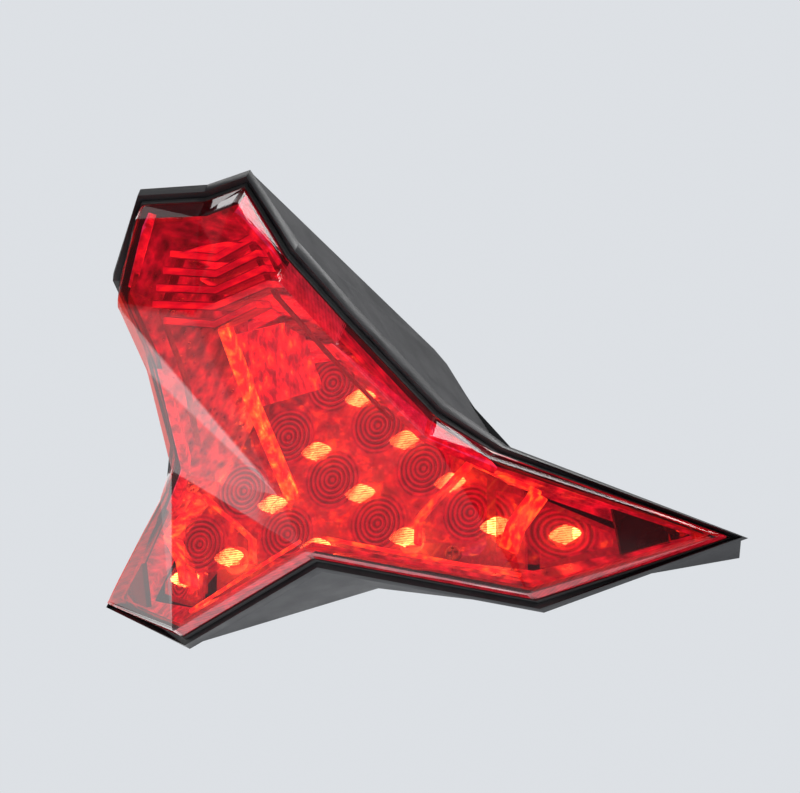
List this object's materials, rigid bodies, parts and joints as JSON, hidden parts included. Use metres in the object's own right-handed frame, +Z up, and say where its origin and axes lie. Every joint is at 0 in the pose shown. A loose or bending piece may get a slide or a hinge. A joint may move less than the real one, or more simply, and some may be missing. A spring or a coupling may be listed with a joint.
{
  "type": "motorcycle tail light",
  "caption": "Arrow-shaped red tail light with a faceted lens, fresnel optics, board-mounted light sources and a black rear housing with a connector inlet.",
  "frame": {"origin": "centre of the flat mounting pad on the housing's back", "axes": "+X to the lamp's right, +Y forward into the motorcycle, out of the mounting pad, +Z up"},
  "size_m": [0.2074, 0.148, 0.1033],
  "materials": {
    "red_lens": "clear red acrylic, polished",
    "black_housing": "moulded black plastic, fine texture",
    "seal_rubber": "matt black rubber",
    "metallised": "vacuum-metallised plastic",
    "black_trim": "satin black plastic",
    "clear_optic": "clear acrylic with ring prisms",
    "circuit_board": "white solder mask",
    "led_package": "phosphor-filled clear resin",
    "steel": "zinc-plated steel",
    "brass": "plain brass",
    "chip": "moulded epoxy"
  },
  "bodies": {
    "root": {"outer_lens": "red_lens", "lens_seal": "seal_rubber", "rear_housing": "black_housing", "reflector": "metallised", "brow_reflector": "metallised", "keel_light_guide": "clear_optic", "tip_bezel_left": "black_trim", "tip_bezel_right": "black_trim", "optic_centre": "clear_optic", "optic_wing_left": "clear_optic", "optic_wing_right": "clear_optic", "led_board": "circuit_board", "wing_board_left": "circuit_board", "wing_board_right": "circuit_board", "led_01": "led_package", "led_02": "led_package", "led_03": "led_package", "led_04": "led_package", "led_05": "led_package", "led_06": "led_package", "led_07": "led_package", "led_08": "led_package", "led_09": "led_package", "led_10": "led_package", "led_11": "led_package", "led_12": "led_package", "board_screw_1": "steel", "board_screw_2": "steel", "board_screw_3": "steel", "board_screw_4": "steel", "current_regulator": "chip", "resistor_1": "chip", "resistor_2": "chip", "mount_insert_top": "brass", "mount_insert_left": "brass", "mount_insert_right": "brass", "connector_socket": "black_trim", "terminal_1": "brass", "terminal_2": "brass", "terminal_3": "brass", "breather_left": "seal_rubber", "breather_right": "seal_rubber"}
  },
  "joints": []
}
